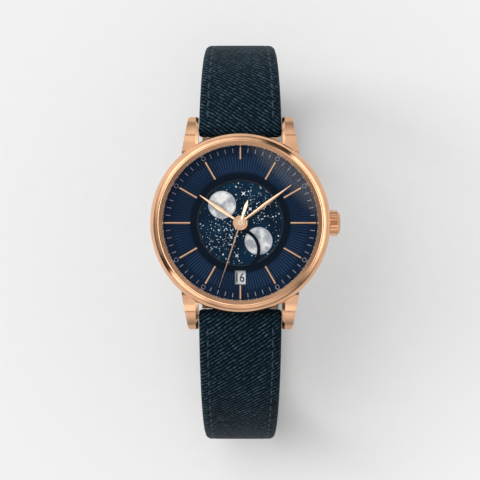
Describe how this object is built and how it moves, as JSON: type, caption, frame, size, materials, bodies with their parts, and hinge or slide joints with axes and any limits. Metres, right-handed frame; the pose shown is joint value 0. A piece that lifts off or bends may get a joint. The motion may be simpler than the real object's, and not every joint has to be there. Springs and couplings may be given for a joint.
{
  "type": "moon phase watch",
  "caption": "Round wristwatch with domed bezel, date window, open-centre dial over a starry moon disc, faceted hands and batons, and a stitched leather strap closed by a pin buckle.",
  "frame": {"origin": "middle of the case back's flat outer face, which rests on the wrist", "axes": "+Z out of the dial, +Y towards 12 o'clock along the strap, +X towards the crown at 3 o'clock"},
  "size_m": [0.036, 0.083, 0.0517],
  "materials": {
    "rose_gold": "polished rose gold plating",
    "ring_gold": "bright polished rose gold",
    "marker_gold": "faceted and polished rose gold",
    "back_steel": "circular brushed",
    "steel": "plain machined",
    "battery_steel": "satin",
    "crystal_glass": "clear and polished",
    "dial_navy": "satin navy over stamped sunray grooves",
    "moon_print": "printed starry night with two moons",
    "date_white": "white with dark numerals",
    "leather_navy": "navy grain in rows of small scales with tone-on-tone stitching",
    "lining_brown": "smooth dark brown lining leather",
    "gasket_rubber": "smooth",
    "holder_plastic": "moulded white",
    "movement_brass": "stamped and satin",
    "wheel_plastic": "moulded black",
    "coil_copper": "wound enamelled copper wire",
    "board_green": "lacquered board",
    "oscillator_can": "bright can"
  },
  "bodies": {
    "case": {"back_gasket": "gasket_rubber", "battery": "battery_steel", "battery_clamp": "steel", "bezel": "rose_gold", "bridge_screws": "steel", "buckle_frame": "rose_gold", "buckle_pin": "rose_gold", "calendar_plate": "movement_brass", "case_back": "back_steel", "case_middle": "rose_gold", "circuit_board": "board_green", "coil_core": "steel", "coil_winding": "coil_copper", "crown_tube": "steel", "crystal": "crystal_glass", "dial": "dial_navy", "dial_ring": "ring_gold", "fixed_keeper": "leather_navy", "hour_markers": "marker_gold", "lower_bar_spring": "steel", "lower_bar_tube": "steel", "lower_lining": "lining_brown", "lower_strap": "leather_navy", "main_plate": "movement_brass", "movement_holder": "holder_plastic", "quartz_oscillator": "oscillator_can", "stator": "steel", "train_bridge": "movement_brass", "upper_bar_spring": "steel", "upper_bar_tube": "steel", "upper_lining": "lining_brown", "upper_strap": "leather_navy"},
    "hour": {"hour_hand": "marker_gold", "hour_wheel": "movement_brass"},
    "minute": {"minute_hand": "marker_gold", "cannon_pinion": "movement_brass"},
    "seconds": {"seconds_hand": "marker_gold", "seconds_wheel": "movement_brass"},
    "third": {"third_wheel": "movement_brass"},
    "centre": {"centre_wheel": "movement_brass"},
    "fifth": {"fifth_wheel": "wheel_plastic"},
    "rotor_body": {"rotor": "wheel_plastic"},
    "minute_works": {"minute_wheel": "movement_brass"},
    "moon": {"moon_disc": "moon_print"},
    "date": {"date_ring": "date_white"},
    "crown_seal": {"crown_gasket": "gasket_rubber"},
    "crown_and_stem": {"crown": "rose_gold", "stem": "steel"},
    "lever": {"setting_lever": "steel"},
    "upper_left_tip": {"upper_left_bar_tip": "steel"},
    "upper_right_tip": {"upper_right_bar_tip": "steel"},
    "lower_left_tip": {"lower_left_bar_tip": "steel"},
    "lower_right_tip": {"lower_right_bar_tip": "steel"},
    "keeper": {"free_keeper": "leather_navy"},
    "tang": {"buckle_tang": "rose_gold"}
  },
  "joints": [
    {"name": "minute_turn", "type": "hinge", "parent": "case", "child": "minute", "pos_m": [0, 0, 0.0062], "axis": [0, 0, -1], "continuous": true},
    {"name": "hour_turn", "type": "hinge", "parent": "case", "child": "hour", "pos_m": [0, 0, 0.0058], "axis": [0, 0, -1], "continuous": true},
    {"name": "minute_works_turn", "type": "hinge", "parent": "case", "child": "minute_works", "pos_m": [-0.00217, 0.00125, 0.0044], "axis": [0, 0, -1], "continuous": true},
    {"name": "seconds_turn", "type": "hinge", "parent": "case", "child": "seconds", "pos_m": [0, 0, 0.0066], "axis": [0, 0, -1], "continuous": true},
    {"name": "third_turn", "type": "hinge", "parent": "case", "child": "third", "pos_m": [-0.00319, -0.00116, 0.0027], "axis": [0, 0, -1], "continuous": true},
    {"name": "centre_turn", "type": "hinge", "parent": "case", "child": "centre", "pos_m": [0, 0, 0.003], "axis": [0, 0, -1], "continuous": true},
    {"name": "fifth_turn", "type": "hinge", "parent": "case", "child": "fifth", "pos_m": [0.0026, -0.0015, 0.0027], "axis": [0, 0, -1], "continuous": true},
    {"name": "rotor_turn", "type": "hinge", "parent": "case", "child": "rotor_body", "pos_m": [0.00442, -0.00255, 0.0027], "axis": [0, 0, -1], "continuous": true},
    {"name": "moon_turn", "type": "hinge", "parent": "case", "child": "moon", "pos_m": [0, 0, 0.005], "axis": [0, 0, -1], "continuous": true},
    {"name": "date_turn", "type": "hinge", "parent": "case", "child": "date", "pos_m": [0, 0, 0.0048], "axis": [0, 0, -1], "continuous": true},
    {"name": "crown_pull", "type": "slide", "parent": "case", "child": "crown_seal", "axis": [1, 0, 0], "range_m": [0, 0.0008]},
    {"name": "crown_turn", "type": "hinge", "parent": "crown_seal", "child": "crown_and_stem", "pos_m": [0.0178, 0, 0.00275], "axis": [1, 0, 0], "continuous": true},
    {"name": "lever_swing", "type": "hinge", "parent": "case", "child": "lever", "pos_m": [0.009, 0.0046, 0.00275], "axis": [0, 0, 1], "range_deg": [0, 11.5]},
    {"name": "upper_left_tip_press", "type": "slide", "parent": "case", "child": "upper_left_tip", "axis": [1, 0, 0], "range_m": [0, 0.0008], "stiffness_N_per_m": 300, "springref_m": -0.0005, "deforming": ["upper_bar_spring"]},
    {"name": "upper_right_tip_press", "type": "slide", "parent": "case", "child": "upper_right_tip", "axis": [-1, 0, 0], "range_m": [0, 0.0008], "stiffness_N_per_m": 300, "springref_m": -0.0005, "deforming": ["upper_bar_spring"]},
    {"name": "lower_left_tip_press", "type": "slide", "parent": "case", "child": "lower_left_tip", "axis": [1, 0, 0], "range_m": [0, 0.0008], "stiffness_N_per_m": 300, "springref_m": -0.0005, "deforming": ["lower_bar_spring"]},
    {"name": "lower_right_tip_press", "type": "slide", "parent": "case", "child": "lower_right_tip", "axis": [-1, 0, 0], "range_m": [0, 0.0008], "stiffness_N_per_m": 300, "springref_m": -0.0005, "deforming": ["lower_bar_spring"]},
    {"name": "keeper_slide", "type": "slide", "parent": "case", "child": "keeper", "axis": [0, 1, 0], "range_m": [-0.0025, 0.0025]},
    {"name": "tang_turn", "type": "hinge", "parent": "case", "child": "tang", "pos_m": [0, 0.0015, -0.03904], "axis": [1, 0, 0], "range_deg": [0, 5]}
  ],
  "couplings": [
    {"joint": "hour_turn", "follows": "minute_turn", "ratio": 0.083333},
    {"joint": "minute_works_turn", "follows": "minute_turn", "ratio": -0.33333},
    {"joint": "third_turn", "follows": "seconds_turn", "ratio": -0.13333},
    {"joint": "centre_turn", "follows": "seconds_turn", "ratio": 0.016667},
    {"joint": "fifth_turn", "follows": "seconds_turn", "ratio": -5},
    {"joint": "rotor_turn", "follows": "seconds_turn", "ratio": 30},
    {"joint": "lever_swing", "follows": "crown_pull", "rad_per_m": 250}
  ]
}
